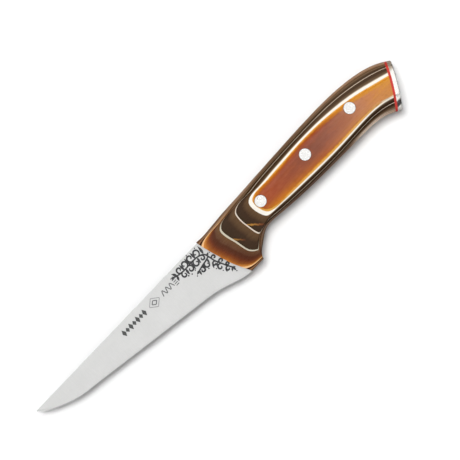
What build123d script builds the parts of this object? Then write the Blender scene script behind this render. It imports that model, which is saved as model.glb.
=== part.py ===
from build123d import *
import math
import numpy
import os

# A boning knife lying on its side. While it is modelled, X runs from the tip to the butt, Y from the
# cutting edge to the spine, Z is up and the knife's middle plane is z = 0, with the middle rivet's
# axis at x = 0, y = 0. At the end every piece is moved so that the middle of the box's base is the
# origin. All sizes are in millimetres.

# Driving dimensions
TANG_THICKNESS = 2.5
TIP_THICKNESS = 1.1
EDGE_THICKNESS = 0.6
EDGE_LAND = 0.06
BEVEL_ANGLE = 22
SPINE_Y = 9.86

RIVET_SPACING = 37.1
RIVET_HEAD_R = 3.5
RIVET_SEAT = 6.0
RIVET_SHANK_R = 2.4
RIVET_PIN_R = 1.4
PIN_CLEARANCE = 0.03
PIN_END_GAP = 1.2
TANG_HOLE_R = 2.5

SPACER_THICKNESS = 1.4
CAP_THICKNESS = 2.7
CAP_EDGE_RADIUS = 0.7
STUB_WIDTH = 12.0
STUB_DEPTH = 2.0
STUB_CLEARANCE = 0.05

CROWN_HEIGHT = 9.0
HALF_TANG = TANG_THICKNESS / 2
FAR = 100.0
BACK_MARGIN = 6.0

# The plies of one scale from the tang outwards: name and thickness. The last one takes up the rest.
PLIES = [
    ("base_dark_ply", 0.9),
    ("tan_ply", 1.0),
    ("lower_dark_ply", 1.25),
    ("cream_ply", 0.25),
    ("front_amber_ply", 1.22),
    ("outer_white_ply", 0.09),
    ("middle_dark_ply", 1.2),
    ("inner_white_ply", 0.09),
    ("upper_dark_ply", 1.35),
    ("thick_white_ply", 0.43),
    ("top_amber_ply", CROWN_HEIGHT - 7.78),
]

# Contours of the sculpted scale at six heights above the tang's face. Each has its belly side from
# the butt to the heel corner, its front from the heel corner to the upper front corner, and its
# spine side from there to the butt. All run on past the front and butt cuts.
CONTOURS = {
    0.0: {
        "belly": [(62, -26.5), (55.1, -21.2), (46.4, -17.6), (34.8, -16.4), (17, -16.1), (0, -15.7),
                  (-17.4, -14.9), (-29, -13.9), (-37.7, -12.95), (-44.1, -12.9), (-49.3, -14.8),
                  (-55.1, -19.0), (-58.2, -21.4), (-59.9, -24.4)],
        "front": [(-59.9, -24.4), (-65, -24.45), (-72, -24.5), (-80, -24.0), (-86, -20.5),
                  (-90, -14), (-92.5, -6), (-93.5, 0), (-93.5, 5), (-91.5, 8.8)],
        "spine": [(-91.5, 8.8), (-87, 9.7), (-80, 10.0), (-58, 11.0), (-29, 12.1), (0, 13.1),
                  (20, 13.4), (40.6, 12.6), (52.2, 11.0), (63.8, 7.8), (71.3, 3.6), (78, -0.9)],
    },
    2.8: {
        "belly": [(62, -25.4), (55.1, -20.3), (46.4, -16.9), (34.8, -15.8), (17, -15.5), (0, -15.2),
                  (-17.4, -14.4), (-29, -13.4), (-37.7, -12.4), (-44.1, -12.3), (-49.6, -14.1),
                  (-55.1, -17.9), (-57.8, -20.0), (-59.2, -22.5)],
        "front": [(-59.2, -22.5), (-63.8, -22.2), (-69.6, -20.9), (-74.5, -17.4), (-78.5, -11),
                  (-81.4, -5), (-82.8, 0), (-82.9, 3), (-81.8, 5.4)],
        "spine": [(-81.8, 5.4), (-79.0, 6.4), (-69.6, 8.3), (-58, 9.3), (-29, 11.2), (0, 12.4),
                  (20, 12.7), (40.6, 11.8), (52.2, 10.0), (63.8, 6.6), (71.3, 2.3), (78, -2.2)],
    },
    4.75: {
        "belly": [(64, -23.5), (55.1, -18.4), (46.4, -15.6), (34.8, -14.8), (17, -14.8), (0, -14.5),
                  (-17.4, -13.7), (-29, -12.7), (-37.7, -11.9), (-44.1, -11.6), (-48.4, -12.0),
                  (-51.6, -13.6), (-55.1, -17.0), (-57.8, -19.0)],
        "front": [(-57.8, -19.0), (-59.7, -18.2), (-62.1, -16.2), (-63.2, -12.8), (-63.5, -9.6),
                  (-63.9, -5.8), (-64.6, -2.3), (-65.1, 1.2), (-65.2, 3.5), (-64.6, 5.5)],
        "spine": [(-64.6, 5.5), (-60.9, 7.1), (-52.2, 8.5), (-34.8, 9.9), (-12, 11.0), (5, 11.3),
                  (23, 11.35), (40.6, 10.3), (52.2, 8.3), (63.8, 4.9), (71.3, 0.9), (78, -3.4)],
    },
    5.95: {
        "belly": [(66, -21.6), (56.8, -16.4), (46.4, -13.7), (34.8, -13.1), (17, -13.6), (0, -13.5),
                  (-17.4, -12.7), (-29, -11.9), (-37.7, -11.1), (-43.5, -10.75), (-47, -11.1),
                  (-50.7, -12.0)],
        "front": [(-50.7, -12.0), (-51.3, -11.5), (-51.6, -10.4), (-51.9, -8.7), (-52.7, -4.9),
                  (-53.4, -1.2), (-53.5, 1.4), (-53.2, 3.8), (-52.2, 5.8)],
        "spine": [(-52.2, 5.8), (-49.3, 6.8), (-43.5, 7.7), (-34.8, 8.5), (-23.2, 9.3), (0, 10.1),
                  (20, 10.2), (40.6, 8.7), (52.2, 6.4), (63.8, 2.9), (71.3, -0.6), (78, -4.6)],
    },
    7.5: {
        "belly": [(69, -18.8), (58.6, -13.5), (52.2, -11.8), (46.4, -11.1), (34.8, -10.95),
                  (17, -11.3), (0, -11.0), (-17.4, -10.3), (-29, -9.8), (-34.8, -9.4), (-38.0, -8.8)],
        "front": [(-38.0, -8.8), (-39.6, -7.8), (-40.7, -6.2), (-41.5, -3.4), (-41.9, -1.0),
                  (-41.9, 1.2), (-41.5, 3.4), (-40.2, 4.9)],
        "spine": [(-40.2, 4.9), (-37.7, 5.6), (-29, 6.2), (-15, 6.7), (0, 7.35), (11.6, 7.35),
                  (23.2, 6.65), (34.8, 5.2), (46.4, 3.0), (58, -0.2), (67, -2.8), (78, -6.6)],
    },
    CROWN_HEIGHT: {
        "belly": [(45, -6.6), (34.8, -6.3), (23, -6.4), (11.6, -6.4), (0, -6.1), (-11.6, -5.7),
                  (-23, -5.4), (-30, -5.1), (-33.2, -4.7)],
        "front": [(-33.2, -4.7), (-34.8, -3.9), (-35.8, -2.6), (-36.0, -1.4), (-35.5, -0.2),
                  (-34.2, 0.7)],
        "spine": [(-34.2, 0.7), (-30, 1.2), (-20, 1.5), (0, 2.1), (11.6, 2.2), (23, 1.4),
                  (34.8, -0.6), (45, -3.0)],
    },
}
SHARP_HEEL_BELOW = 7.0
SAMPLES = {"belly": 15, "front": 10, "spine": 13}
LEVELS = 7
PROFILE_DEGREE = 6
END_WEIGHT = 1000.0
LINE_WEIGHT = 1.5
LINE_HEIGHTS = list(CONTOURS)[2:5]
LOW_GUIDE = (1.4, 0.15)
HIGH_GUIDES = [8.4, 8.85]

# The cutting edge from the tip to under the handle: rounded tip, long straight, sweep to the heel.
EDGE_CURVE = [(-214.6, 9.2), (-212.0, 6.9), (-208.8, 4.7), (-203.0, 1.7), (-197.2, -0.7),
              (-191.4, -2.6), (-179.8, -4.55), (-165.0, -6.8), (-145.0, -9.85), (-120.0, -13.65),
              (-100.0, -16.7), (-92.8, -18.0), (-87.0, -19.7), (-81.2, -21.8), (-75.4, -23.7),
              (-69.8, -24.45), (-64.0, -24.2)]
FRONT_CUT = [(-80.25, 11.0), (-79.4, 6.0), (-78.05, 0.0), (-76.4, -6.2), (-74.9, -11.6),
             (-71.9, -19.0), (-69.2, -25.0)]

EDGE_SAMPLES = 40

# The slanted seam between the scales and the red spacer, from the spine side to the belly side.
SEAM_TOP = (70.6, 4.35)
SEAM_BOTTOM = (54.65, -20.6)
SEAM_BOW = 0.5


def spline_edge(points, tangents=None, parameters=None):
    """A smooth edge through plan points at z = 0."""
    vectors = [Vector(x, y, 0) for x, y in points]
    if tangents is None:
        return Edge.make_spline(vectors)
    return Edge.make_spline(vectors, tangents=tangents, parameters=parameters, scale=False)


def part_of_curve(curve, start, end, count):
    """Evenly spaced points, and the end tangents, of a stretch of a curve between two lengths."""
    lengths = [start + (end - start) * i / (count - 1) for i in range(count)]
    points = [curve.position_at(length / curve.length) for length in lengths]
    tangents = [
        curve.tangent_at(start / curve.length) * (end - start),
        curve.tangent_at(end / curve.length) * (end - start),
    ]
    return points, tangents


def length_to(curve, point):
    """The length along a curve from its start to a plan point on it."""
    return curve.param_at_point(Vector(point[0], point[1], 0)) * curve.length


def contour_stretches(contour, smooth_heel):
    """The belly, front and spine stretches of a contour, each as even points and end tangents."""
    upper_corner = contour["front"][-1]
    if smooth_heel:
        curve = spline_edge(contour["belly"] + contour["front"][1:] + contour["spine"][1:])
        heel = length_to(curve, contour["front"][0])
        corner = length_to(curve, upper_corner)
        spans = {"belly": (0, heel), "front": (heel, corner), "spine": (corner, curve.length)}
        return {
            side: part_of_curve(curve, *span, SAMPLES[side]) for side, span in spans.items()
        }
    belly = spline_edge(contour["belly"])
    rest = spline_edge(contour["front"] + contour["spine"][1:])
    corner = length_to(rest, upper_corner)
    return {
        "belly": part_of_curve(belly, 0, belly.length, SAMPLES["belly"]),
        "front": part_of_curve(rest, 0, corner, SAMPLES["front"]),
        "spine": part_of_curve(rest, corner, rest.length, SAMPLES["spine"]),
    }


def profile_terms(turn):
    """The powers of the profile's turn, which starts upright (0) and ends level (1)."""
    return [turn ** power for power in range(PROFILE_DEGREE + 1)]


def guide_rows():
    """The guide heights of the profile, each with its shares of the measured contours."""
    heights = list(CONTOURS)
    measured = dict(zip(heights, numpy.eye(len(heights))))
    low_height, low_share = LOW_GUIDE
    guides = {low_height: (1 - low_share) * measured[heights[0]] + low_share * measured[heights[1]]}
    start = heights[-2]
    for height in HIGH_GUIDES:
        share = 1 - math.sqrt((CROWN_HEIGHT - height) / (CROWN_HEIGHT - start))
        guides[height] = (1 - share) * measured[start] + share * measured[CROWN_HEIGHT]
    rows = sorted({**measured, **guides}.items())
    return [height for height, _ in rows], numpy.array([row for _, row in rows])


def trust_in(height):
    """How closely the smooth profile keeps to a guide height: exactly at both ends, well at the white plies."""
    if height in (0.0, CROWN_HEIGHT):
        return END_WEIGHT
    return LINE_WEIGHT if height in LINE_HEIGHTS else 1.0


def contour_shares(level_turn):
    """How much of each measured contour goes into the smooth contour at one turn of the profile."""
    heights, rows = guide_rows()
    turns = [math.asin(height / CROWN_HEIGHT) / (math.pi / 2) for height in heights]
    trust = numpy.array([trust_in(height) for height in heights])
    terms = numpy.array([profile_terms(key) for key in turns]) * trust[:, None]
    return numpy.array(profile_terms(level_turn)) @ numpy.linalg.pinv(terms) * trust @ rows


def mix(vectors, shares):
    """The weighted sum of some vectors."""
    return sum((vector * float(share) for vector, share in zip(vectors, shares)), Vector(0, 0, 0))


def blend(all_stretches, shares):
    """The stretches of a contour that is a weighted mix of the measured ones."""
    mixed = {}
    for side in SAMPLES:
        point_rows = zip(*[stretches[side][0] for stretches in all_stretches])
        tangent_rows = zip(*[stretches[side][1] for stretches in all_stretches])
        mixed[side] = (
            [mix(row, shares) for row in point_rows],
            [mix(row, shares) for row in tangent_rows],
        )
    return mixed


def contour_wire(stretches, height):
    """The closed wire of a contour at its height above the tang's face."""
    lift = Vector(0, 0, height)
    edges = []
    for side in ("belly", "front", "spine"):
        points, tangents = stretches[side]
        steps = [i / (len(points) - 1) for i in range(len(points))]
        raised = [point + lift for point in points]
        edges.append(Edge.make_spline(raised, tangents=tangents, parameters=steps, scale=False))
    edges.append(Edge.make_line(edges[-1] @ 1, edges[0] @ 0))
    return Wire(edges)


def make_scale_body():
    """The sculpted outer form of one scale, past both end cuts, with its flat side at z = 0."""
    measured = [
        contour_stretches(contour, height > SHARP_HEEL_BELOW)
        for height, contour in CONTOURS.items()
    ]
    wires = []
    for i in range(LEVELS):
        turn = i / (LEVELS - 1)
        height = CROWN_HEIGHT * math.sin(math.pi / 2 * turn)
        wires.append(contour_wire(blend(measured, contour_shares(turn)), height))
    return Solid.make_loft(wires)


def make_handle_zone():
    """The space behind the bowed front edge of the handle."""
    front_top = FRONT_CUT[0]
    front_bottom = FRONT_CUT[-1]
    corners = [
        front_bottom,
        (front_bottom[0], -FAR),
        (FAR, -FAR),
        (FAR, FAR),
        (front_top[0], FAR),
        front_top,
    ]
    sides = [Edge.make_line(a, b) for a, b in zip(corners, corners[1:])]
    outline = Face(Wire([spline_edge(FRONT_CUT), *sides]))
    return extrude(Pos(0, 0, -FAR / 2) * outline, FAR, dir=(0, 0, 1))


def seam_frame():
    """The middle of the seam chord and its outward and spineward directions."""
    top = Vector(*SEAM_TOP)
    bottom = Vector(*SEAM_BOTTOM)
    spineward = (top - bottom).normalized()
    outward = Vector(spineward.Y, -spineward.X)
    return (top + bottom) / 2, outward, spineward


def make_seam_cylinder(offset):
    """The space ahead of the bowed surface that lies this far behind the scales' end."""
    middle, outward, _ = seam_frame()
    half_chord = (Vector(*SEAM_TOP) - middle).length
    radius = (half_chord ** 2 + SEAM_BOW ** 2) / (2 * SEAM_BOW)
    centre = middle - outward * (radius - SEAM_BOW)
    return Pos(centre.X, centre.Y, 0) * Cylinder(radius + offset, FAR)


def make_stub(clearance):
    """The end of the tang that goes through the spacer into the end cap's socket."""
    middle, outward, spineward = seam_frame()
    length = SPACER_THICKNESS + STUB_DEPTH + SEAM_BOW
    reach = 2 * length + 2 * clearance
    plane = Plane(origin=middle, x_dir=outward, z_dir=(0, 0, 1))
    return plane * Box(reach, STUB_WIDTH + 2 * clearance, TANG_THICKNESS + 2 * clearance)


def rivet_places():
    """The plan positions of the three rivets, by name."""
    return {"front": -RIVET_SPACING, "middle": 0.0, "rear": RIVET_SPACING}


def make_column(x, radius, low, high):
    """An upright cylinder on a rivet's axis between two heights."""
    column = Cylinder(radius, high - low, align=(Align.CENTER, Align.CENTER, Align.MIN))
    return Pos(x, 0, low) * column


def offset_curve(curve, distance, count):
    """A smooth curve at a distance to the left of a plan curve."""
    places = [i / (count - 1) for i in range(count)]
    return spline_edge([
        (
            (curve % t).Y * -distance + (curve @ t).X,
            (curve % t).X * distance + (curve @ t).Y,
        )
        for t in places
    ])


def blade_wire(edge_curve, height):
    """The blade's outline at a height, with its back running well past the spine."""
    back_y = SPINE_Y + 2 * BACK_MARGIN
    corners = [
        edge_curve @ 1,
        Vector((edge_curve @ 1).X, back_y),
        Vector(EDGE_CURVE[0][0] - BACK_MARGIN, back_y),
        edge_curve @ 0,
    ]
    sides = [Edge.make_line(a, b) for a, b in zip(corners, corners[1:])]
    return Pos(0, 0, height) * Wire([edge_curve, *sides])


def make_half_blade():
    """The upper half of the blade: a flat ground flank, an edge bevel and a thin edge land."""
    edge_curve = spline_edge(EDGE_CURVE)
    land = EDGE_LAND / 2
    inset = (HALF_TANG - land) / math.tan(math.radians(BEVEL_ANGLE))
    low_wire = blade_wire(edge_curve, 0)
    land_wire = blade_wire(edge_curve, land)
    high_wire = blade_wire(offset_curve(edge_curve, inset, EDGE_SAMPLES), HALF_TANG)
    half = Solid.make_loft([low_wire, land_wire], ruled=True)
    half += Solid.make_loft([land_wire, high_wire], ruled=True)

    heel_x, heel_y = EDGE_CURVE[-2]
    tip_x = EDGE_CURVE[0][0]
    handle_x = FRONT_CUT[0][0]
    taper = (TANG_THICKNESS - TIP_THICKNESS) / 2 / (handle_x - tip_x)
    heel_rise = taper * (heel_x - handle_x)
    grind = (HALF_TANG + heel_rise - EDGE_THICKNESS / 2) / (SPINE_Y - heel_y)
    flank = Plane(origin=(handle_x, SPINE_Y, HALF_TANG), x_dir=(1, 0, taper), z_dir=(-taper, -grind, 1))
    above_flank = flank * Box(4 * FAR, 4 * FAR, FAR, align=(Align.CENTER, Align.CENTER, Align.MIN))
    past_spine = Pos(0, SPINE_Y, 0) * Box(5 * FAR, FAR, FAR, align=(Align.CENTER, Align.MIN, Align.CENTER))
    return half - above_flank - past_spine


def make_blade(tang_outline, zone):
    """The blade, full tang and end stub in one piece, with the rivet holes."""
    tang = extrude(Pos(0, 0, -HALF_TANG) * tang_outline, TANG_THICKNESS, dir=(0, 0, 1))
    tang = tang & zone & make_seam_cylinder(0)
    half = make_half_blade()
    blade = tang + half + mirror(half, about=Plane.XY) + make_stub(0)
    for x in rivet_places().values():
        blade -= make_column(x, TANG_HOLE_R, -HALF_TANG, HALF_TANG)
    return blade


def make_plies(scale_body, zone):
    """The eleven plies of the upper scale, cut to the handle's length and drilled for the rivets."""
    scale = Pos(0, 0, HALF_TANG) * scale_body & zone & make_seam_cylinder(0)
    plies = {}
    low = 0.0
    for name, thickness in PLIES:
        high = low + thickness
        reach = FAR if name == PLIES[-1][0] else thickness
        slab = Box(2 * FAR, FAR, reach, align=(Align.CENTER, Align.CENTER, Align.MIN))
        ply = scale & Pos(0, 0, HALF_TANG + low) * slab
        hole_r = RIVET_SHANK_R if (low + high) / 2 < RIVET_SEAT else RIVET_HEAD_R
        for x in rivet_places().values():
            ply -= make_column(x, hole_r, HALF_TANG + low, HALF_TANG + high)
        plies[name] = ply
        low = high
    return plies


def make_rivet(x, scale_body):
    """One compression rivet: a headed tube from the top and a headed pin from below."""
    seat = HALF_TANG + RIVET_SEAT
    head = make_column(x, RIVET_HEAD_R, seat, FAR) & Pos(0, 0, HALF_TANG) * scale_body
    tube = head + make_column(x, RIVET_SHANK_R, PIN_END_GAP - seat, seat)
    tube -= make_column(x, RIVET_PIN_R + PIN_CLEARANCE, -seat, seat)
    pin = mirror(head, about=Plane.XY) + make_column(x, RIVET_PIN_R, -seat, seat - PIN_END_GAP)
    return tube, pin


def make_full_section(scale_body, tang_outline, space):
    """The whole handle's outer form, both sides and the middle, within a space."""
    upper = Pos(0, 0, HALF_TANG) * scale_body & space
    middle = extrude(Pos(0, 0, -HALF_TANG) * tang_outline, TANG_THICKNESS, dir=(0, 0, 1)) & space
    return upper + middle + mirror(upper, about=Plane.XY)


def make_end_pieces(scale_body, tang_outline):
    """The red spacer and the round-rimmed steel cap, both with a slot for the tang's stub."""
    spacer_space = make_seam_cylinder(SPACER_THICKNESS) - make_seam_cylinder(0)
    cap_space = make_seam_cylinder(SPACER_THICKNESS + CAP_THICKNESS)
    cap_space -= make_seam_cylinder(SPACER_THICKNESS)
    slot = make_stub(STUB_CLEARANCE)
    spacer = make_full_section(scale_body, tang_outline, spacer_space) - slot
    cap = make_full_section(scale_body, tang_outline, cap_space) - slot
    middle, outward, _ = seam_frame()
    rim_start = SPACER_THICKNESS + CAP_THICKNESS - SEAM_BOW / 2
    rim = [edge for edge in cap.edges() if (edge.center() - middle).dot(outward) > rim_start]
    return spacer, fillet(rim, CAP_EDGE_RADIUS)


def make_all():
    """Every piece of the knife by node name, about the middle rivet."""
    scale_body = make_scale_body()
    tang_outline = Face(scale_body.faces().sort_by(Axis.Z)[0].outer_wire())
    zone = make_handle_zone()
    pieces = {"blade": make_blade(tang_outline, zone)}
    for name, ply in make_plies(scale_body, zone).items():
        pieces["left_" + name] = ply
        pieces["right_" + name] = mirror(ply, about=Plane.XY)
    for place, x in rivet_places().items():
        tube, pin = make_rivet(x, scale_body)
        pieces[place + "_rivet_tube"] = tube
        pieces[place + "_rivet_pin"] = pin
    pieces["end_spacer"], pieces["end_cap"] = make_end_pieces(scale_body, tang_outline)
    return pieces


def main():
    """Build the pieces, put the origin under the middle of the whole box and write the files."""
    os.makedirs("parts", exist_ok=True)
    pieces = make_all()
    boxes = [piece.bounding_box() for piece in pieces.values()]
    middle_x = (min(box.min.X for box in boxes) + max(box.max.X for box in boxes)) / 2
    middle_y = (min(box.min.Y for box in boxes) + max(box.max.Y for box in boxes)) / 2
    base_z = min(box.min.Z for box in boxes)
    print("middle rivet's axis at", -middle_x, -middle_y, "and middle plane at", -base_z)
    for name, piece in pieces.items():
        placed = Pos(-middle_x, -middle_y, -base_z) * piece
        export_step(placed, f"parts/{name}.step")


main()
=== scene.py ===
import bpy
import math
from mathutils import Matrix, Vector
from mathutils.bvhtree import BVHTree


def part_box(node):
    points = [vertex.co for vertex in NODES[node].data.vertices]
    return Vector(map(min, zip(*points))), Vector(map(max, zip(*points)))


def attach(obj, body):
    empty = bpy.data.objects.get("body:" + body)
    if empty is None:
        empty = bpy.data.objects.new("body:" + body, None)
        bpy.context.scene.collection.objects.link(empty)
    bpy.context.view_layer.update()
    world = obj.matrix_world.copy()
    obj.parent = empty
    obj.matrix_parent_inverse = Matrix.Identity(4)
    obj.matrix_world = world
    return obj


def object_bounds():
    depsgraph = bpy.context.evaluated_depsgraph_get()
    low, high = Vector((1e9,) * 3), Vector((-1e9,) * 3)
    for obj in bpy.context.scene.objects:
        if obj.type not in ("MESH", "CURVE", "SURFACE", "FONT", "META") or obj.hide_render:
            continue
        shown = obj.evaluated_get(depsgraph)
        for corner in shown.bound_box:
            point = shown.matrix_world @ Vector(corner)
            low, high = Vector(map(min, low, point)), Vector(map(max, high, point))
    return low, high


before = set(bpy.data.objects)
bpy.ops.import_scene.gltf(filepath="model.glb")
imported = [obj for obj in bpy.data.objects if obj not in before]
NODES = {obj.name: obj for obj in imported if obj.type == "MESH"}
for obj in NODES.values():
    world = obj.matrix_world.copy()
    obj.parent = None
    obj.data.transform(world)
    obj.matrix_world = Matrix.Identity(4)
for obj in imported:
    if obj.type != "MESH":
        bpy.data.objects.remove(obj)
cad_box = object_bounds()
MM = 0.001

# Positions are measured from the middle rivet's axis, in millimetres, as the knife was modelled.
rivet_low, rivet_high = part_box("middle_rivet_pin")
RIVET = (rivet_low + rivet_high) / 2 / MM
FRONT_RIVET_X = sum(c.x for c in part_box("front_rivet_pin")) / 2 / MM
REAR_RIVET_X = sum(c.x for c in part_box("rear_rivet_pin")) / 2 / MM
MIDDLE_Z = sum(c.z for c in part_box("blade")) / 2 / MM
TANG_HALF = (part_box("blade")[1].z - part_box("blade")[0].z) / 2 / MM
RIVET_RADIUS = (rivet_high.x - rivet_low.x) / 2 / MM

# The width of the dark ring round a rivet, and the turning marks on its face in radians per millimetre.
RIVET_RING = 0.55
TURNING = 38.0

# The studio light on a level surface, and what the softbox adds to it in the lacquer's gloss.
STUDIO_LIGHT = 1.2
GLOSS_VEIL = 0.008


def rgb(red, green, blue):
    """A display colour from 0 to 255 as a linear colour."""
    def linear(value):
        value /= 255
        return value / 12.92 if value <= 0.04045 else ((value + 0.055) / 1.055) ** 2.4
    return (linear(red), linear(green), linear(blue), 1.0)


def seen(red, green, blue):
    """The base colour that looks like this display colour on level wood under the studio light."""
    colour = rgb(red, green, blue)[:3]
    return tuple(max(0.0, value - GLOSS_VEIL) / STUDIO_LIGHT for value in colour) + (1.0,)


class Material:
    """A node material with short names for the nodes that the pieces share."""

    def __init__(self, name):
        self.material = bpy.data.materials.new(name)
        self.material.use_nodes = True
        self.tree = self.material.node_tree
        self.tree.nodes.clear()
        self.shader = self.node("ShaderNodeBsdfPrincipled")
        output = self.node("ShaderNodeOutputMaterial")
        self.tree.links.new(self.shader.outputs[0], output.inputs["Surface"])
        coordinates = self.node("ShaderNodeTexCoord").outputs["Object"]
        self.position = self.scaled(coordinates, (1 / MM,) * 3)
        separate = self.node("ShaderNodeSeparateXYZ")
        self.put(separate.inputs[0], self.position)
        self.x, self.y, self.z = separate.outputs

    def node(self, kind, **settings):
        made = self.tree.nodes.new(kind)
        for key, value in settings.items():
            setattr(made, key, value)
        return made

    def put(self, socket, value):
        if isinstance(value, bpy.types.NodeSocket):
            self.tree.links.new(value, socket)
        else:
            socket.default_value = value

    def math(self, operation, *values):
        made = self.node("ShaderNodeMath", operation=operation)
        for socket, value in zip(made.inputs, values):
            self.put(socket, value)
        return made.outputs[0]

    def product(self, first, *others):
        """The values multiplied together."""
        for other in others:
            first = self.math("MULTIPLY", first, other)
        return first

    def scaled(self, vector, factors):
        made = self.node("ShaderNodeVectorMath", operation="MULTIPLY")
        self.put(made.inputs[0], vector)
        self.put(made.inputs[1], factors)
        return made.outputs[0]

    def noise(self, stretch, detail=4.0, roughness=0.55, distortion=0.0):
        made = self.node("ShaderNodeTexNoise", noise_dimensions="3D")
        self.put(made.inputs["Vector"], self.scaled(self.position, stretch))
        self.put(made.inputs["Scale"], 1.0)
        self.put(made.inputs["Detail"], detail)
        self.put(made.inputs["Roughness"], roughness)
        self.put(made.inputs["Distortion"], distortion)
        return made.outputs[0]

    def drift(self, stretch, amount, **settings):
        """Noise about zero, which makes an edge wander."""
        return self.product(self.math("SUBTRACT", self.noise(stretch, **settings), 0.5), amount)

    def step(self, value, low, high, start=0.0, end=1.0):
        """A smooth step of a value from start below low to end above high."""
        made = self.node("ShaderNodeMapRange", interpolation_type="SMOOTHSTEP")
        keys = ("Value", "From Min", "From Max", "To Min", "To Max")
        for key, number in zip(keys, (value, low, high, start, end)):
            self.put(made.inputs[key], number)
        return made.outputs[0]

    def step_along(self, low, high, start=0.0, end=1.0):
        """A smooth step along the knife, between two places measured from the middle rivet."""
        return self.step(self.x, RIVET.x + low, RIVET.x + high, start, end)

    def step_across(self, low, high, start=0.0, end=1.0):
        """A smooth step across the knife, between two places measured from the middle rivet."""
        return self.step(self.y, RIVET.y + low, RIVET.y + high, start, end)

    def patches(self):
        """Broad soft patches along the grain, from 0 to 1."""
        return self.step(self.noise((0.07, 0.5, 0.5)), 0.35, 0.65)

    def mix(self, share, first, second, blend="MIX"):
        made = self.node("ShaderNodeMix", data_type="RGBA", blend_type=blend)
        self.put(made.inputs[0], share)
        self.put(made.inputs[6], first)
        self.put(made.inputs[7], second)
        return made.outputs[2]

    def ramp(self, value, stops):
        """A colour that runs through the stops as a value goes from the first to the last one's place."""
        made = self.node("ShaderNodeValToRGB")
        elements = made.color_ramp.elements
        (low, first), *between, (high, last) = stops
        elements[0].color = seen(*first)
        elements[-1].color = seen(*last)
        for place, colour in between:
            elements.new((place - low) / (high - low)).color = seen(*colour)
        share = self.node("ShaderNodeMapRange")
        self.put(share.inputs["Value"], value)
        self.put(share.inputs["From Min"], low)
        self.put(share.inputs["From Max"], high)
        self.put(made.inputs[0], share.outputs[0])
        return made.outputs[0]

    def bump(self, height, strength, distance_mm):
        made = self.node("ShaderNodeBump")
        self.put(made.inputs["Strength"], strength)
        self.put(made.inputs["Distance"], distance_mm * MM)
        self.put(made.inputs["Height"], height)
        self.put(self.shader.inputs["Normal"], made.outputs[0])

    def height(self):
        """The height above the tang's face, on either side of the knife."""
        from_middle = self.math("ABSOLUTE", self.math("SUBTRACT", self.z, MIDDLE_Z))
        return self.math("SUBTRACT", from_middle, TANG_HALF)

    def steep(self):
        """1 on faces that stand upright and 0 on level and gently sloping ones. Upright metal would only
        reflect the dim room, so it is given less metal and takes the floor's pale light."""
        separate = self.node("ShaderNodeSeparateXYZ")
        self.put(separate.inputs[0], self.node("ShaderNodeNewGeometry").outputs["Normal"])
        return self.step(self.math("ABSOLUTE", separate.outputs["Z"]), 0.15, 0.45, 1.0, 0.0)

    def to_axis(self, x):
        """The distance from an upright axis on the rivets' line."""
        across = self.math("SUBTRACT", self.x, x)
        along = self.math("SUBTRACT", self.y, RIVET.y)
        squares = self.math("ADD", self.math("POWER", across, 2.0), self.math("POWER", along, 2.0))
        return self.math("SQRT", squares)

    def nearest_rivet(self):
        """The distance from the nearest rivet's axis."""
        front, middle, rear = (self.to_axis(x) for x in (FRONT_RIVET_X, RIVET.x, REAR_RIVET_X))
        return self.math("MINIMUM", self.math("MINIMUM", front, middle), rear)

    def rivet_ring_dirt_and_shade(self, colour):
        """A colour darkened in a thin ring round each rivet: the polish and dirt that collect at the seam,
        and painted shade there.
        """
        ring = self.step(self.nearest_rivet(), RIVET_RADIUS, RIVET_RADIUS + RIVET_RING, 0.62, 0.0)
        return self.mix(ring, colour, rgb(58, 38, 26))

    def streak(self, colour, start, end, half_width, strength):
        """A resin-filled crack from start to end, in plan."""
        begin = Vector(start) + RIVET.xy
        line = Vector(end) - Vector(start)
        way = line.normalized()
        from_x = self.math("SUBTRACT", self.x, begin.x)
        from_y = self.math("SUBTRACT", self.y, begin.y)
        along = self.math("ADD", self.product(from_x, way.x), self.product(from_y, way.y))
        across = self.math("SUBTRACT", self.product(from_y, way.x), self.product(from_x, way.y))
        off = self.math("ABSOLUTE", self.math("ADD", across, self.drift((0.5, 0.5, 0.5), 1.6)))
        body = self.step(off, half_width * 0.35, half_width * 1.3, 1.0, 0.0)
        fade_in = self.step(along, -0.6, 0.8)
        fade_out = self.step(along, line.length - 1.5, line.length + 0.8, 1.0, 0.0)
        darkening = self.step(along, 0.25 * line.length, 0.9 * line.length)
        resin = self.mix(darkening, seen(198, 140, 62), seen(128, 72, 44))
        return self.mix(self.product(body, fade_in, fade_out, strength), colour, resin)


# The plies' colour ramps run by height above the tang's face or by place along the knife from the middle
# rivet, in millimetres.
def finish_laminate(made, colour, grain_depth, gloss):
    """Adds fibre streaks, a rivet ring and the polished resin surface to a ply's colour."""
    broad = made.noise((0.05, 0.9, 0.9), detail=3.0)
    fine = made.noise((0.12, 4.2, 4.2), detail=5.0, roughness=0.65)
    pores = made.noise((0.5, 9.0, 9.0), detail=2.0)
    tone = made.math("ADD", made.product(broad, 0.5), made.product(fine, 0.5))
    light = made.step(tone, 0.32, 0.68, 1 - grain_depth, 1 + grain_depth)
    combined = made.node("ShaderNodeCombineXYZ")
    for socket in combined.inputs:
        made.put(socket, light)
    colour = made.mix(1.0, colour, combined.outputs[0], "MULTIPLY")
    specks = made.step(pores, 0.62, 0.74, 0.0, grain_depth)
    colour = made.mix(specks, colour, rgb(40, 24, 14))
    colour = made.rivet_ring_dirt_and_shade(colour)
    made.put(made.shader.inputs["Base Color"], colour)
    made.put(made.shader.inputs["Roughness"], made.step(fine, 0.3, 0.7, gloss - 0.04, gloss + 0.06))
    made.put(made.shader.inputs["Specular IOR Level"], 0.1)
    made.bump(fine, 0.12, 0.03)
    return made.material


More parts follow.
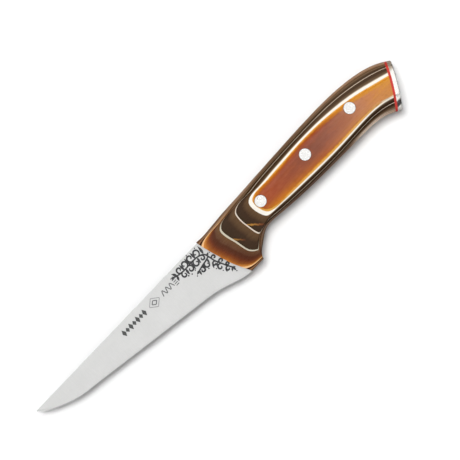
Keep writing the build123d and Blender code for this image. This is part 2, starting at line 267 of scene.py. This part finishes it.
def painted_belly_highlight(made, colour, strength):
    """Painted highlight: a paler colour along the belly behind the middle rivet, on the lower plies,
    standing in for the pale floor's reflection there.
    """
    from_front = made.step_along(20, 34)
    to_rear = made.step_along(40, 64, 1.0, 0.0)
    low = made.step(made.height(), 3.4, 5.0, 1.0, 0.0)
    belly = made.step_across(-8, -5, 1.0, 0.0)
    return made.mix(made.product(from_front, to_rear, low, belly, strength), colour, rgb(236, 214, 192))


# The slope in plan of the white edge on the spine side of the butt.
EDGE_SLANT = 0.326


def top_amber():
    """Dyed amber veneer: golden where it is thin at the white ply, red-brown at the crown. Near the butt
    its rim is white, which widens the white line there."""
    made = Material("top_amber")
    ragged = made.drift((0.7, 0.7, 0.7), 0.6, roughness=0.7)
    drift = made.drift((0.06, 0.25, 0.25), 0.3)
    depth = made.math("ADD", made.height(), made.math("ADD", drift, ragged))
    depth = made.math("SUBTRACT", depth, made.step_across(-9, -4, 0.3, 0.0))
    along = made.math("SUBTRACT", made.x, RIVET.x)
    # The paler, pinkish colours of the crown from about 6 to 42 mm behind the middle rivet, here and in
    # the belly ramp, are partly a painted sheen of reflected light over the amber's own colour.
    heart = made.ramp(along, [
        (-42, (168, 84, 46)), (-30, (162, 79, 48)), (-12, (150, 80, 54)), (6, (137, 82, 64)),
        (17, (149, 92, 73)), (30, (167, 105, 78)), (42, (188, 126, 91)), (51, (202, 132, 84)),
        (62, (209, 141, 70)),
    ])
    redder = made.product(made.step_across(0.5, 4.5, 0.0, 0.75), made.step_along(20, 34, 1.0, 0.0))
    heart = made.mix(redder, heart, seen(152, 72, 46))
    belly = made.ramp(along, [
        (-42, (212, 130, 40)), (-24, (204, 122, 44)), (-8, (184, 106, 54)), (8, (176, 100, 62)),
        (24, (190, 123, 86)), (42, (200, 136, 92)), (62, (206, 138, 80)),
    ])
    heart = made.mix(made.step_across(-9.5, -2.5, 0.85, 0.0), heart, belly)
    border = made.ramp(along, [
        (-42, (192, 106, 18)), (-12, (177, 87, 28)), (12, (166, 78, 28)), (28, (196, 118, 40)),
        (42, (212, 141, 54)), (62, (216, 148, 60)),
    ])
    border = made.mix(made.step_across(-8, -5, 0.8, 0.0), border, belly)
    colour = made.mix(made.step(depth, 8.36, 8.86, 1.0, 0.0), heart, border)
    colour = made.mix(made.step(depth, 8.02, 8.34, 1.0, 0.0), colour, seen(212, 134, 36))
    colour = made.mix(made.step(depth, 7.84, 8.08, 1.0, 0.0), colour, seen(236, 178, 84))
    pale_gold = made.product(
        made.step_along(16, 32, 0.0, 0.72), made.step_across(-10.2, -8.8, 1.0, 0.0),
        made.step_along(47, 53, 1.0, 0.0),
    )
    colour = made.mix(pale_gold, colour, seen(236, 186, 116))
    rim = made.product(
        made.step_along(36, 46, 0.0, 0.92), made.step_across(-12.0, -10.6, 1.0, 0.0),
        made.step(made.height(), 7.95, 8.15, 1.0, 0.0),
    )
    slanted = made.math("ADD", made.math("SUBTRACT", made.y, RIVET.y), made.product(along, EDGE_SLANT))
    edge = made.product(made.step(slanted, 6.0, 6.75, 1.0, 0.0), made.step_along(50.5, 53.5, 0.0, 0.85))
    colour = made.mix(made.math("MAXIMUM", rim, edge), colour, seen(250, 236, 206))
    blotches = made.noise((0.28, 0.45, 0.45), detail=3.0, roughness=0.6)
    colour = made.mix(made.step(blotches, 0.5, 0.72, 0.0, 0.22), colour, seen(190, 104, 66))
    colour = made.mix(made.step(blotches, 0.28, 0.48, 0.2, 0.0), colour, seen(126, 62, 42))
    return finish_laminate(made, colour, 0.05, 0.26)


def front_amber():
    """The lower amber veneer: orange at its thin outer rim, deep brown further in, darker towards the
    belly as painted shade, with a painted highlight along the belly behind the middle rivet.
    """
    made = Material("front_amber")
    depth = made.math("ADD", made.height(), made.drift((0.1, 0.3, 0.3), 0.2))
    bend = made.product(made.step_along(-71, -63), made.step_across(5, 8, 0.0, 0.42))
    colour = made.ramp(made.math("ADD", depth, bend), [
        (3.4, (204, 132, 60)), (3.55, (186, 112, 46)), (3.7, (158, 90, 40)), (3.85, (130, 68, 34)),
        (3.98, (104, 54, 32)), (4.1, (90, 49, 32)), (4.24, (84, 48, 32)), (4.34, (98, 65, 46)),
        (4.62, (108, 76, 50)),
    ])
    behind = made.ramp(made.height(), [
        (3.4, (146, 110, 84)), (3.65, (122, 90, 68)), (3.95, (100, 72, 50)), (4.3, (102, 76, 54)),
        (4.62, (112, 88, 66)),
    ])
    ahead = made.ramp(made.height(), [
        (3.4, (118, 90, 66)), (3.8, (100, 72, 50)), (4.1, (98, 70, 50)), (4.62, (116, 90, 68)),
    ])
    grip = made.mix(made.step_along(-4, 30), ahead, behind)
    # Painted shade: darker towards the belly side.
    colour = made.mix(made.step_across(-17, -6, 0.42, 0.0), colour, seen(80, 38, 20))
    colour = made.mix(made.step(depth, 3.43, 3.65, 0.84, 0.0), colour, seen(204, 132, 60))
    colour = made.mix(made.step_along(-66, -49), colour, grip)
    return finish_laminate(made, painted_belly_highlight(made, colour, 0.9), 0.08, 0.28)


def lower_dark():
    """The ply under the cream line: banded on the nose, brown ahead and tan towards the butt, with a
    painted highlight along the belly there.
    """
    made = Material("lower_dark")
    bands = made.ramp(made.height(), [
        (1.9, (112, 84, 64)), (2.1, (140, 108, 82)), (2.35, (170, 128, 92)), (2.6, (164, 118, 80)),
        (2.74, (96, 60, 40)), (2.95, (52, 30, 18)), (3.06, (58, 34, 20)), (3.15, (140, 92, 58)),
    ])
    patches = made.patches()
    ahead = made.mix(patches, seen(104, 76, 56), seen(122, 92, 68))
    behind = made.mix(patches, seen(160, 126, 98), seen(178, 144, 114))
    colour = made.mix(made.step_along(-4, 44), ahead, behind)
    pale = made.ramp(made.height(), [
        (1.9, (158, 132, 106)), (2.5, (162, 128, 98)), (2.85, (178, 136, 104)), (3.15, (172, 126, 92)),
    ])
    pale = made.mix(made.step_along(-61, -55), pale, seen(150, 120, 97))
    colour = made.mix(made.step_along(-36, -18), pale, colour)
    spine_side = made.product(made.step_across(-12, -10), made.step_along(-75, -70))
    past_bands = made.math("MAXIMUM", made.step_along(-56, -46), spine_side)
    colour = made.mix(past_bands, bands, colour)
    return finish_laminate(made, painted_belly_highlight(made, colour, 1.0), 0.12, 0.3)


def tan_ply():
    """The tan ply above the tang: darker and orange on the nose, with a painted highlight along the belly.
    """
    made = Material("tan")
    tan = made.mix(made.patches(), seen(151, 120, 94), seen(174, 138, 108))
    nose = made.ramp(made.height(), [
        (0.9, (92, 62, 44)), (1.15, (150, 108, 76)), (1.5, (138, 96, 66)), (1.7, (74, 46, 30)),
        (1.9, (84, 54, 38)),
    ])
    colour = made.mix(made.step_along(-62, -48), nose, painted_belly_highlight(made, tan, 0.8))
    return finish_laminate(made, colour, 0.12, 0.3)


# The grip colours of the two dark plies, by height above the tang's face. The outermost 0.15 mm of the
# upper one is pale, which widens the thick white line beside it.
MIDDLE_GRIP = [
    (4.71, (116, 92, 70)), (5.1, (98, 76, 56)), (5.35, (66, 48, 30)), (5.6, (56, 40, 24)),
    (5.8, (74, 56, 40)), (5.91, (98, 80, 62)),
]
UPPER_GRIP = [
    (6.0, (96, 78, 60)), (6.15, (66, 48, 34)), (6.3, (52, 36, 22)), (6.6, (62, 44, 28)),
    (6.9, (90, 70, 50)), (7.1, (104, 82, 60)), (7.2, (178, 162, 142)), (7.3, (244, 234, 214)),
    (7.35, (255, 246, 229)),
]
# Their resin streaks: start and end from the middle rivet, half width and strength.
MIDDLE_STREAK = ((-64.0, -3.8), (-59.4, -9.2), 0.5, 0.55)
UPPER_STREAK = ((-52.6, -3.6), (-45.2, -10.8), 0.55, 0.75)
BELLY_SHADE = 0.3


def dark_ply(name, nose_end, grip_stops, streak):
    """A dark veneer with a resin streak. On the nose it is near black at its inner face and olive brown at
    its outer face. Along the grip it is a little paler towards the butt, except at the belly, with painted
    shade at the belly."""
    made = Material(name)
    low, high = grip_stops[0][0], grip_stops[-1][0]
    span = high - low
    depth = made.math("ADD", made.height(), made.drift((0.08, 0.4, 0.4), 0.3))
    nose = made.ramp(depth, [
        (low, (60, 45, 32)), (low + 0.45 * span, (66, 48, 35)), (low + 0.7 * span, (90, 67, 46)),
        (high, (102, 76, 52)),
    ])
    grip = made.ramp(made.height(), grip_stops)
    paler_to_butt = made.product(made.step_along(-5, 28, 0.0, 0.055), made.step_across(-8, -3))
    grip = made.mix(paler_to_butt, grip, seen(190, 162, 136))
    grip = made.mix(made.step_across(-9.5, -7.5, BELLY_SHADE, 0.0), grip, seen(34, 20, 10))
    colour = made.mix(made.step_along(-nose_end, 11 - nose_end), nose, grip)
    return finish_laminate(made, made.streak(colour, *streak), 0.12, 0.3)


def thin_line(name, at_nose, on_grip, nose_end):
    """A white resin line that turns tan along the grip."""
    made = Material(name)
    colour = made.mix(made.step_along(-nose_end, 12 - nose_end), seen(*at_nose), seen(*on_grip))
    bend = made.product(made.step_along(-66, -60), made.step_across(4.5, 7.5, 0.0, 0.7))
    colour = made.mix(bend, colour, seen(*on_grip))
    return finish_laminate(made, colour, 0.05, 0.26)


def thick_white():
    """The thick white ply, painted brighter along the belly as painted light against the shade that falls
    there.
    """
    made = Material("thick_white")
    belly = made.step_across(-9, -6, 1.0, 0.0)
    return finish_laminate(made, made.mix(belly, seen(256, 250, 239), seen(266, 257, 244)), 0.02, 0.24)


def base_dark():
    """The brown ply next to the tang, in one colour with grain, with a painted highlight along the belly.
    """
    made = Material("base_dark")
    darker, lighter = (seen(*(value * share for value in (98, 76, 58))) for share in (0.94, 1.06))
    colour = painted_belly_highlight(made, made.mix(made.patches(), darker, lighter), 0.5)
    return finish_laminate(made, colour, 0.12, 0.3)


def satin_steel():
    """Ground and satin-polished blade steel, with fine cross-brushing and faint handling marks."""
    made = Material("satin_steel")
    brushing = made.noise((9.0, 0.25, 2.0), detail=6.0, roughness=0.7)
    clouds = made.noise((0.05, 0.08, 0.05), detail=3.0)
    marks = made.noise((0.6, 14.0, 0.6), detail=2.0, distortion=0.4)
    tone = made.math("ADD", made.product(brushing, 0.7), made.product(clouds, 0.3))
    colour = made.mix(made.step(tone, 0.3, 0.7), rgb(178, 178, 177), rgb(190, 190, 189))
    made.put(made.shader.inputs["Base Color"], colour)
    made.put(made.shader.inputs["Metallic"], made.step(made.steep(), 0.0, 1.0, 0.85, 0.3))
    rough = made.step(brushing, 0.3, 0.7, 0.3, 0.4)
    scratches = made.step(marks, 0.68, 0.78, 0.0, 0.08)
    made.put(made.shader.inputs["Roughness"], made.math("ADD", rough, scratches))
    made.bump(brushing, 0.1, 0.01)
    return made.material


def cap_steel():
    """The polished butt cap. Its dark patch near the belly and its duller upper end stand in for the
    reflections in the photograph."""
    made = Material("cap_steel")
    smears = made.noise((0.2, 0.2, 0.2), detail=4.0)
    hairs = made.noise((0.7, 12.0, 3.0), detail=2.0)
    tint = made.mix(made.step(smears, 0.3, 0.7), rgb(214, 211, 206), rgb(222, 219, 214))
    tint = made.mix(made.step_across(-3.4, -0.8), tint, rgb(160, 146, 130))
    lower_patch = made.product(made.step_across(-17.7, -16.6, 1.0, 0.0), made.step_across(-20.4, -19.7))
    tint = made.mix(lower_patch, tint, rgb(46, 38, 37))
    made.put(made.shader.inputs["Base Color"], tint)
    ends = made.math("MAXIMUM", made.step_across(-0.6, 0.6), made.step_across(-15.0, -13.4, 1.0, 0.0))
    less_metal = made.math("MAXIMUM", ends, made.steep())
    made.put(made.shader.inputs["Metallic"], made.step(less_metal, 0.0, 1.0, 0.9, 0.25))
    worn = made.step(hairs, 0.6, 0.75, 0.0, 0.08)
    rough = made.step(smears, 0.3, 0.7, 0.22, 0.32)
    made.put(made.shader.inputs["Roughness"], made.math("ADD", rough, worn))
    made.bump(hairs, 0.06, 0.01)
    return made.material


def rivet_metal():
    """Flush aluminium rivets: bright turned faces with a darker rim, dirt and painted shade at the seam.
    """
    made = Material("rivet_aluminium")
    nearest = made.nearest_rivet()
    turning = made.math("SINE", made.product(nearest, TURNING))
    smears = made.noise((0.6, 0.6, 0.6), detail=4.0)
    colour = made.mix(made.step(smears, 0.3, 0.7), rgb(202, 201, 199), rgb(213, 212, 210))
    rim = made.step(nearest, RIVET_RADIUS - 0.3, RIVET_RADIUS, 0.0, 0.55)
    colour = made.mix(rim, colour, rgb(120, 112, 104))
    made.put(made.shader.inputs["Base Color"], colour)
    made.put(made.shader.inputs["Metallic"], 0.9)
    made.put(made.shader.inputs["Roughness"], made.step(smears, 0.3, 0.7, 0.2, 0.32))
    made.bump(turning, 0.05, 0.01)
    return made.material


def red_fibre():
    """Vulcanised red fibre, polished with the handle."""
    made = Material("red_fibre")
    flecks = made.noise((2.0, 2.0, 6.0), detail=4.0)
    colour = made.mix(made.step(flecks, 0.35, 0.65), rgb(176, 32, 24), rgb(200, 46, 32))
    made.put(made.shader.inputs["Base Color"], colour)
    made.put(made.shader.inputs["Roughness"], 0.35)
    made.put(made.shader.inputs["Specular IOR Level"], 0.35)
    made.bump(flecks, 0.08, 0.02)
    return made.material


def etched(name, colour):
    """The matt, slightly uneven grey of an etched mark."""
    made = Material(name)
    grain = made.noise((6.0, 6.0, 6.0), detail=3.0)
    darker, lighter = (rgb(*(value * share for value in colour)) for share in (0.86, 1.12))
    tint = made.mix(made.step(grain, 0.3, 0.7), darker, lighter)
    made.put(made.shader.inputs["Base Color"], tint)
    made.put(made.shader.inputs["Metallic"], 0.2)
    made.put(made.shader.inputs["Roughness"], 0.7)
    made.bump(grain, 0.1, 0.01)
    return made.material


def assign(node, material):
    """Gives a CAD node its material."""
    NODES[node].data.materials.clear()
    NODES[node].data.materials.append(material)


assign("blade", satin_steel())
PLY_MATERIALS = {
    "base_dark_ply": base_dark(),
    "tan_ply": tan_ply(),
    "lower_dark_ply": lower_dark(),
    "cream_ply": thin_line("cream", (244, 196, 140), (150, 118, 90), 64),
    "front_amber_ply": front_amber(),
    "outer_white_ply": thin_line("outer_white", (206, 199, 178), (140, 116, 92), 61),
    "middle_dark_ply": dark_ply("middle_dark", 52, MIDDLE_GRIP, MIDDLE_STREAK),
    "inner_white_ply": thin_line("inner_white", (222, 211, 195), (238, 218, 196), 50),
    "upper_dark_ply": dark_ply("upper_dark", 40, UPPER_GRIP, UPPER_STREAK),
    "thick_white_ply": thick_white(),
    "top_amber_ply": top_amber(),
}
for side in ("left", "right"):
    for ply, ply_material in PLY_MATERIALS.items():
        assign(f"{side}_{ply}", ply_material)
rivet_material = rivet_metal()
for place in ("front", "middle", "rear"):
    for half in ("tube", "pin"):
        assign(f"{place}_rivet_{half}", rivet_material)
assign("end_spacer", red_fibre())
assign("end_cap", cap_steel())

# The blade's etched decoration: thin closed strips that follow the ground flank.
ETCH_PROUD = 0.012
ETCH_SUNK = 0.02
LEAF_TIP = 0.05
BEAD_END = 0.04
CURL_SWEEP = math.radians(345)
CURL_WIDTH = 0.95
LEAF_BEND = 18


def flank_height():
    """A function that gives the height of the blade's upper flank at a plan position."""
    mesh = NODES["blade"].data
    tree = BVHTree.FromPolygons([v.co for v in mesh.vertices], [tuple(p.vertices) for p in mesh.polygons])
    high = cad_box[1].z + 10 * MM

    def look_down(x, y):
        hit = tree.ray_cast(Vector((x * MM, y * MM, high)), Vector((0, 0, -1)))[0]
        return hit.z / MM
    return look_down


FLANK = flank_height()


def strip(points, widths):
    """The corners and faces of one closed strip along plan points, of a width at each point."""
    corners = []
    faces = []
    count = len(points)
    for i, (point, width) in enumerate(zip(points, widths)):
        ahead = points[min(i + 1, count - 1)] - points[max(i - 1, 0)]
        across = Vector((-ahead.y, ahead.x)).normalized() * width / 2
        for edge in (point - across, point + across):
            place = edge + RIVET.xy
            level = FLANK(place.x, place.y)
            corners.append((place.x, place.y, level + ETCH_PROUD))
            corners.append((place.x, place.y, level - ETCH_SUNK))
        if i:
            a = 4 * (i - 1)
            b = 4 * i
            faces += [
                (a, a + 2, b + 2, b), (a + 1, b + 1, b + 3, a + 3),
                (a, b, b + 1, a + 1), (a + 2, a + 3, b + 3, b + 2),
            ]
    last = 4 * (count - 1)
    faces += [(0, 1, 3, 2), (last, last + 2, last + 3, last + 1)]
    return corners, faces


def make_etching(name, strips, material):
    """One piece from many strips."""
    corners = []
    faces = []
    for points, widths in strips:
        more, more_faces = strip(points, widths)
        start = len(corners)
        corners += [Vector(corner) * MM for corner in more]
        faces += [tuple(start + index for index in face) for face in more_faces]
    mesh = bpy.data.meshes.new(name)
    mesh.from_pydata(corners, [], faces)
    mesh.materials.append(material)
    mesh.validate()
    piece = bpy.data.objects.new(name, mesh)
    bpy.context.scene.collection.objects.link(piece)
    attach(piece, "root")


def curl(root, direction, radius, hand):
    """A spiral that leaves a stem at its root, winds in about a centre and thickens as it goes."""
    outward = math.radians(direction)
    centre = Vector(root) + Vector((math.cos(outward), math.sin(outward))) * radius
    steps = 30
    points = []
    widths = []
    for i in range(steps + 1):
        share = i / steps
        angle = outward + math.pi + hand * CURL_SWEEP * share
        reach = radius * (1 - 0.72 * share ** 0.9)
        points.append(centre + Vector((math.cos(angle), math.sin(angle))) * reach)
        widths.append(CURL_WIDTH * (0.7 + 0.45 * math.sin(math.pi * share ** 0.8)))
    return points, widths


def leaf(base, angle, length, width):
    """A small pointed leaf that curves to one side."""
    steps = 10
    points = []
    widths = []
    place = Vector(base)
    for i in range(steps + 1):
        share = i / steps
        points.append(place.copy())
        widths.append(max(LEAF_TIP, width * math.sin(math.pi * share ** 0.75)))
        turn = math.radians(angle + LEAF_BEND * share)
        place += Vector((math.cos(turn), math.sin(turn))) * length / steps
    return points, widths


def bead(centre, radius):
    """A round dot."""
    steps = 10
    points = []
    widths = []
    for i in range(steps + 1):
        offset = -math.cos(math.pi * i / steps) * radius
        points.append(Vector(centre) + Vector((offset, 0)))
        widths.append(max(BEAD_END, 2 * math.sqrt(max(0.0, radius ** 2 - offset ** 2))))
    return points, widths


def stem(knots, width):
    """A smooth line of one width through its knots."""
    steps = 8
    ends = [knots[0], *knots, knots[-1]]
    points = []
    for p0, p1, p2, p3 in zip(ends, ends[1:], ends[2:], ends[3:]):
        p0, p1, p2, p3 = (Vector(p) for p in (p0, p1, p2, p3))
        for i in range(steps):
            t = i / steps
            points.append(
                0.5 * (2 * p1 + (p2 - p0) * t + (2 * p0 - 5 * p1 + 4 * p2 - p3) * t ** 2
                       + (3 * p1 - p0 - 3 * p2 + p3) * t ** 3)
            )
    points.append(Vector(knots[-1]))
    return points, [width] * len(points)


# The ornament fills the corner between the blade's back and the handle: a main stem and a branch,
# with curls (root, direction of the centre, radius, hand), leaves and beads on both sides.
STEM_WIDTH = 0.95
MAIN_STEM = [
    (-103.6, 5.6), (-100.0, 4.6), (-95.5, 4.2), (-90.5, 4.4), (-85.5, 4.0), (-81.9, 2.2), (-80.9, -1.2),
    (-80.2, -4.8), (-78.7, -8.4), (-77.2, -12.0), (-75.4, -15.4),
]
BRANCH = [(-81.1, -0.2), (-84.0, -1.0), (-87.2, -1.5), (-90.6, -2.3)]
CURLS = [
    ((-98.8, 4.4), 82, 2.1, -1), ((-94.1, 4.3), 95, 2.35, 1), ((-89.5, 4.4), 86, 2.4, -1),
    ((-84.8, 3.9), 94, 2.5, 1), ((-97.6, 4.2), 258, 2.0, 1), ((-93.1, 4.2), 266, 2.2, -1),
    ((-88.5, 4.3), 272, 2.35, 1), ((-83.9, 3.3), 262, 1.75, -1),
    ((-84.4, -1.0), 262, 2.2, 1), ((-88.6, -1.8), 262, 1.75, -1),
    ((-80.6, -2.9), 8, 1.5, -1), ((-80.0, -5.4), 196, 1.5, 1), ((-79.0, -7.4), 8, 1.45, -1),
    ((-78.5, -9.0), 196, 2.05, 1), ((-77.4, -11.4), 5, 1.25, -1), ((-76.6, -12.9), 200, 1.6, 1),
]
LEAVES = [
    ((-103.2, 5.6), 168, 2.4, 1.5), ((-101.7, 5.0), 112, 3.6, 1.6), ((-101.6, 5.0), 238, 3.4, 1.5),
    ((-96.4, 4.3), 84, 4.4, 1.5), ((-91.8, 4.4), 84, 4.6, 1.5), ((-87.1, 4.3), 84, 4.8, 1.5),
    ((-82.0, 2.8), 74, 5.8, 1.6), ((-95.3, 4.1), 254, 4.2, 1.5), ((-90.7, 4.2), 256, 4.6, 1.5),
    ((-86.1, 3.8), 254, 4.0, 1.4), ((-81.3, 0.6), 20, 2.2, 1.2), ((-82.6, -0.6), 252, 3.2, 1.3),
    ((-86.8, -1.3), 250, 4.0, 1.4), ((-90.4, -2.2), 190, 3.0, 1.4), ((-90.5, -2.3), 246, 3.0, 1.3),
    ((-82.0, -4.9), 230, 3.2, 1.2), ((-79.8, -6.0), 320, 1.8, 1.1), ((-80.0, -6.4), 216, 2.6, 1.2),
    ((-77.9, -10.4), 318, 1.9, 1.1), ((-78.6, -12.2), 232, 2.8, 1.2), ((-75.7, -14.6), 216, 2.8, 1.2),
    ((-75.4, -15.1), 258, 2.6, 1.3), ((-75.8, -14.6), 312, 2.0, 1.1),
]
BEADS = [
    ((-97.0, 0.2), 0.5), ((-94.9, -0.6), 0.45), ((-83.2, 8.8), 0.4), ((-89.6, 9.2), 0.4),
    ((-99.6, 2.5), 0.42), ((-99.9, 7.4), 0.4), ((-92.0, -0.3), 0.42), ((-93.6, -3.6), 0.38),
    ((-85.9, -5.4), 0.42), ((-82.9, -8.6), 0.4), ((-80.9, -12.1), 0.38), ((-78.9, 1.0), 0.36),
    ((-75.6, -18.0), 0.38),
]

ornament = [stem(MAIN_STEM, STEM_WIDTH), stem(BRANCH, STEM_WIDTH)]
ornament += [curl(*shape) for shape in CURLS]
ornament += [leaf(*shape) for shape in LEAVES]
ornament += [bead(*shape) for shape in BEADS]
make_etching("etched_scroll_ornament", ornament, etched("etch_dark", (52, 52, 54)))

# Plain geometric marks along the blade where a maker would put a name.
LOZENGES = 7
LOZENGE_START = (-146.9, 4.05)
LOZENGE_PITCH = 2.78
LOZENGE_HALF = 1.3
LOZENGE_HEIGHTS = (4.7, 3.3)
lozenges = []
for i in range(LOZENGES):
    middle = Vector(LOZENGE_START) + Vector((LOZENGE_PITCH * i, 0))
    tall = LOZENGE_HEIGHTS[i % 2]
    lozenges.append((
        [middle + Vector((LOZENGE_HALF * share, 0)) for share in (-1, -0.5, 0, 0.5, 1)],
        [tall * share for share in (0.02, 0.5, 1.0, 0.5, 0.02)],
    ))
make_etching("etched_lozenge_row", lozenges, etched("etch_mid", (66, 66, 66)))


def outline(centre, half_width, half_height, width):
    """A lozenge drawn as four thin strips."""
    tips = [
        Vector(centre) + Vector(offset)
        for offset in ((half_width, 0), (0, half_height), (-half_width, 0), (0, -half_height))
    ]
    return [([a, (a + b) / 2, b], [width] * 3) for a, b in zip(tips, tips[1:] + tips[:1])]


NESTED_CENTRE = (-122.0, 3.8)
nested = outline(NESTED_CENTRE, 4.1, 3.3, 0.5)
make_etching("etched_nested_lozenge", nested, etched("etch_light", (140, 140, 140)))
WAVE_START = (-115.6, 2.2)
WAVE_PITCH = 1.5
WAVE_RISE = 3.1
WAVE_KNOTS = 7
WAVE_WIDTH = 0.62
wave = [Vector(WAVE_START) + Vector((WAVE_PITCH * i, WAVE_RISE * (i % 2))) for i in range(WAVE_KNOTS)]
RUNGS = 5
RUNG_XS = (-105.9, -104.8, -103.7)
RUNG_Y = 1.4
RUNG_PITCH = 1.25
RUNG_WIDTH = 0.55
rungs = [
    ([Vector((x, RUNG_Y + RUNG_PITCH * i)) for x in RUNG_XS], [RUNG_WIDTH] * len(RUNG_XS))
    for i in range(RUNGS)
]
small_marks = outline(NESTED_CENTRE, 1.9, 1.5, 0.6) + [stem(wave, WAVE_WIDTH)] + rungs
make_etching("etched_small_marks", small_marks, etched("etch_soft", (96, 96, 96)))

# Floor, lights and camera.
FLOOR_HALF = 3.0
FLOOR_DROP = 0.00005
PAPER_WHITE = 0.93
floor_level = cad_box[0].z - FLOOR_DROP
floor_corners = ((-1, -1), (1, -1), (1, 1), (-1, 1))
floor_mesh = bpy.data.meshes.new("floor")
floor_mesh.from_pydata(
    [(x * FLOOR_HALF, y * FLOOR_HALF, floor_level) for x, y in floor_corners], [], [(0, 1, 2, 3)]
)
floor = bpy.data.objects.new("floor", floor_mesh)
bpy.context.scene.collection.objects.link(floor)
paper = Material("floor_paper")
paper.put(paper.shader.inputs["Base Color"], (PAPER_WHITE, PAPER_WHITE, PAPER_WHITE, 1.0))
paper.put(paper.shader.inputs["Roughness"], 0.95)
paper.put(paper.shader.inputs["Specular IOR Level"], 0.0)
floor_mesh.materials.append(paper.material)
floor.visible_glossy = False

# The room is dim at the horizon and brighter higher up, so that the knife's steep sides don't reflect it.
# The backdrop is white to the camera.
HORIZON_LIGHT = 0.09
UPPER_LIGHT = 0.48
UPPER_DIRECTION = 0.6
world = bpy.data.worlds.new("studio")
world.use_nodes = True
world_nodes = world.node_tree.nodes
world_links = world.node_tree.links
direction = world_nodes.new("ShaderNodeTexCoord").outputs["Generated"]
upward = world_nodes.new("ShaderNodeSeparateXYZ")
dimming = world_nodes.new("ShaderNodeMapRange")
dimming.inputs["From Max"].default_value = UPPER_DIRECTION
dimming.inputs["To Min"].default_value = HORIZON_LIGHT
dimming.inputs["To Max"].default_value = UPPER_LIGHT
world_links.new(direction, upward.inputs[0])
world_links.new(upward.outputs["Z"], dimming.inputs["Value"])
backdrop = world_nodes.new("ShaderNodeMath")
backdrop.operation = "MAXIMUM"
to_camera = world_nodes.new("ShaderNodeLightPath").outputs["Is Camera Ray"]
world_links.new(dimming.outputs[0], backdrop.inputs[0])
world_links.new(to_camera, backdrop.inputs[1])
world_links.new(backdrop.outputs[0], world_nodes["Background"].inputs["Strength"])
world_nodes["Background"].inputs["Color"].default_value = (1.0, 1.0, 1.0, 1.0)
bpy.context.scene.world = world

# The middle of the picture, from the middle rivet.
PICTURE_MIDDLE = (-61.3, 1.2)
CENTRE = Vector((RIVET.x + PICTURE_MIDDLE[0], RIVET.y + PICTURE_MIDDLE[1], MIDDLE_Z)) * MM


def add_light(name, kind, energy):
    """A light that points straight down, at the origin."""
    light = bpy.data.objects.new(name, bpy.data.lights.new(name, kind))
    light.data.energy = energy
    bpy.context.scene.collection.objects.link(light)
    return light


KEY_STRENGTH = 2.45
KEY_SPREAD = 24
KEY_TILT = -14.8
key = add_light("key", "SUN", KEY_STRENGTH)
key.data.angle = math.radians(KEY_SPREAD)
key.rotation_euler = (math.radians(KEY_TILT), 0, 0)
key.visible_glossy = False
SOFTBOX_POWER = 114.0
SOFTBOX_SIZE = 6.0
SOFTBOX_HEIGHT = 1.8
softbox = add_light("softbox", "AREA", SOFTBOX_POWER)
softbox.data.size = SOFTBOX_SIZE
softbox.location = CENTRE + Vector((0, 0, SOFTBOX_HEIGHT))
softbox.visible_diffuse = False
softbox.visible_camera = False

LENS = 200.0
SENSOR = 36.0
PICTURE_WIDTH = 0.2668
TURN = math.radians(-46.3)
FARTHEST = 20.0
camera_data = bpy.data.cameras.new("camera")
camera_data.lens = LENS
camera_data.sensor_width = SENSOR
camera_data.clip_end = FARTHEST
camera = bpy.data.objects.new("camera", camera_data)
camera.location = CENTRE + Vector((0, 0, PICTURE_WIDTH * LENS / SENSOR))
camera.rotation_euler = (0, 0, TURN)
bpy.context.scene.collection.objects.link(camera)
bpy.context.scene.camera = camera
bpy.context.scene.view_settings.view_transform = "Standard"
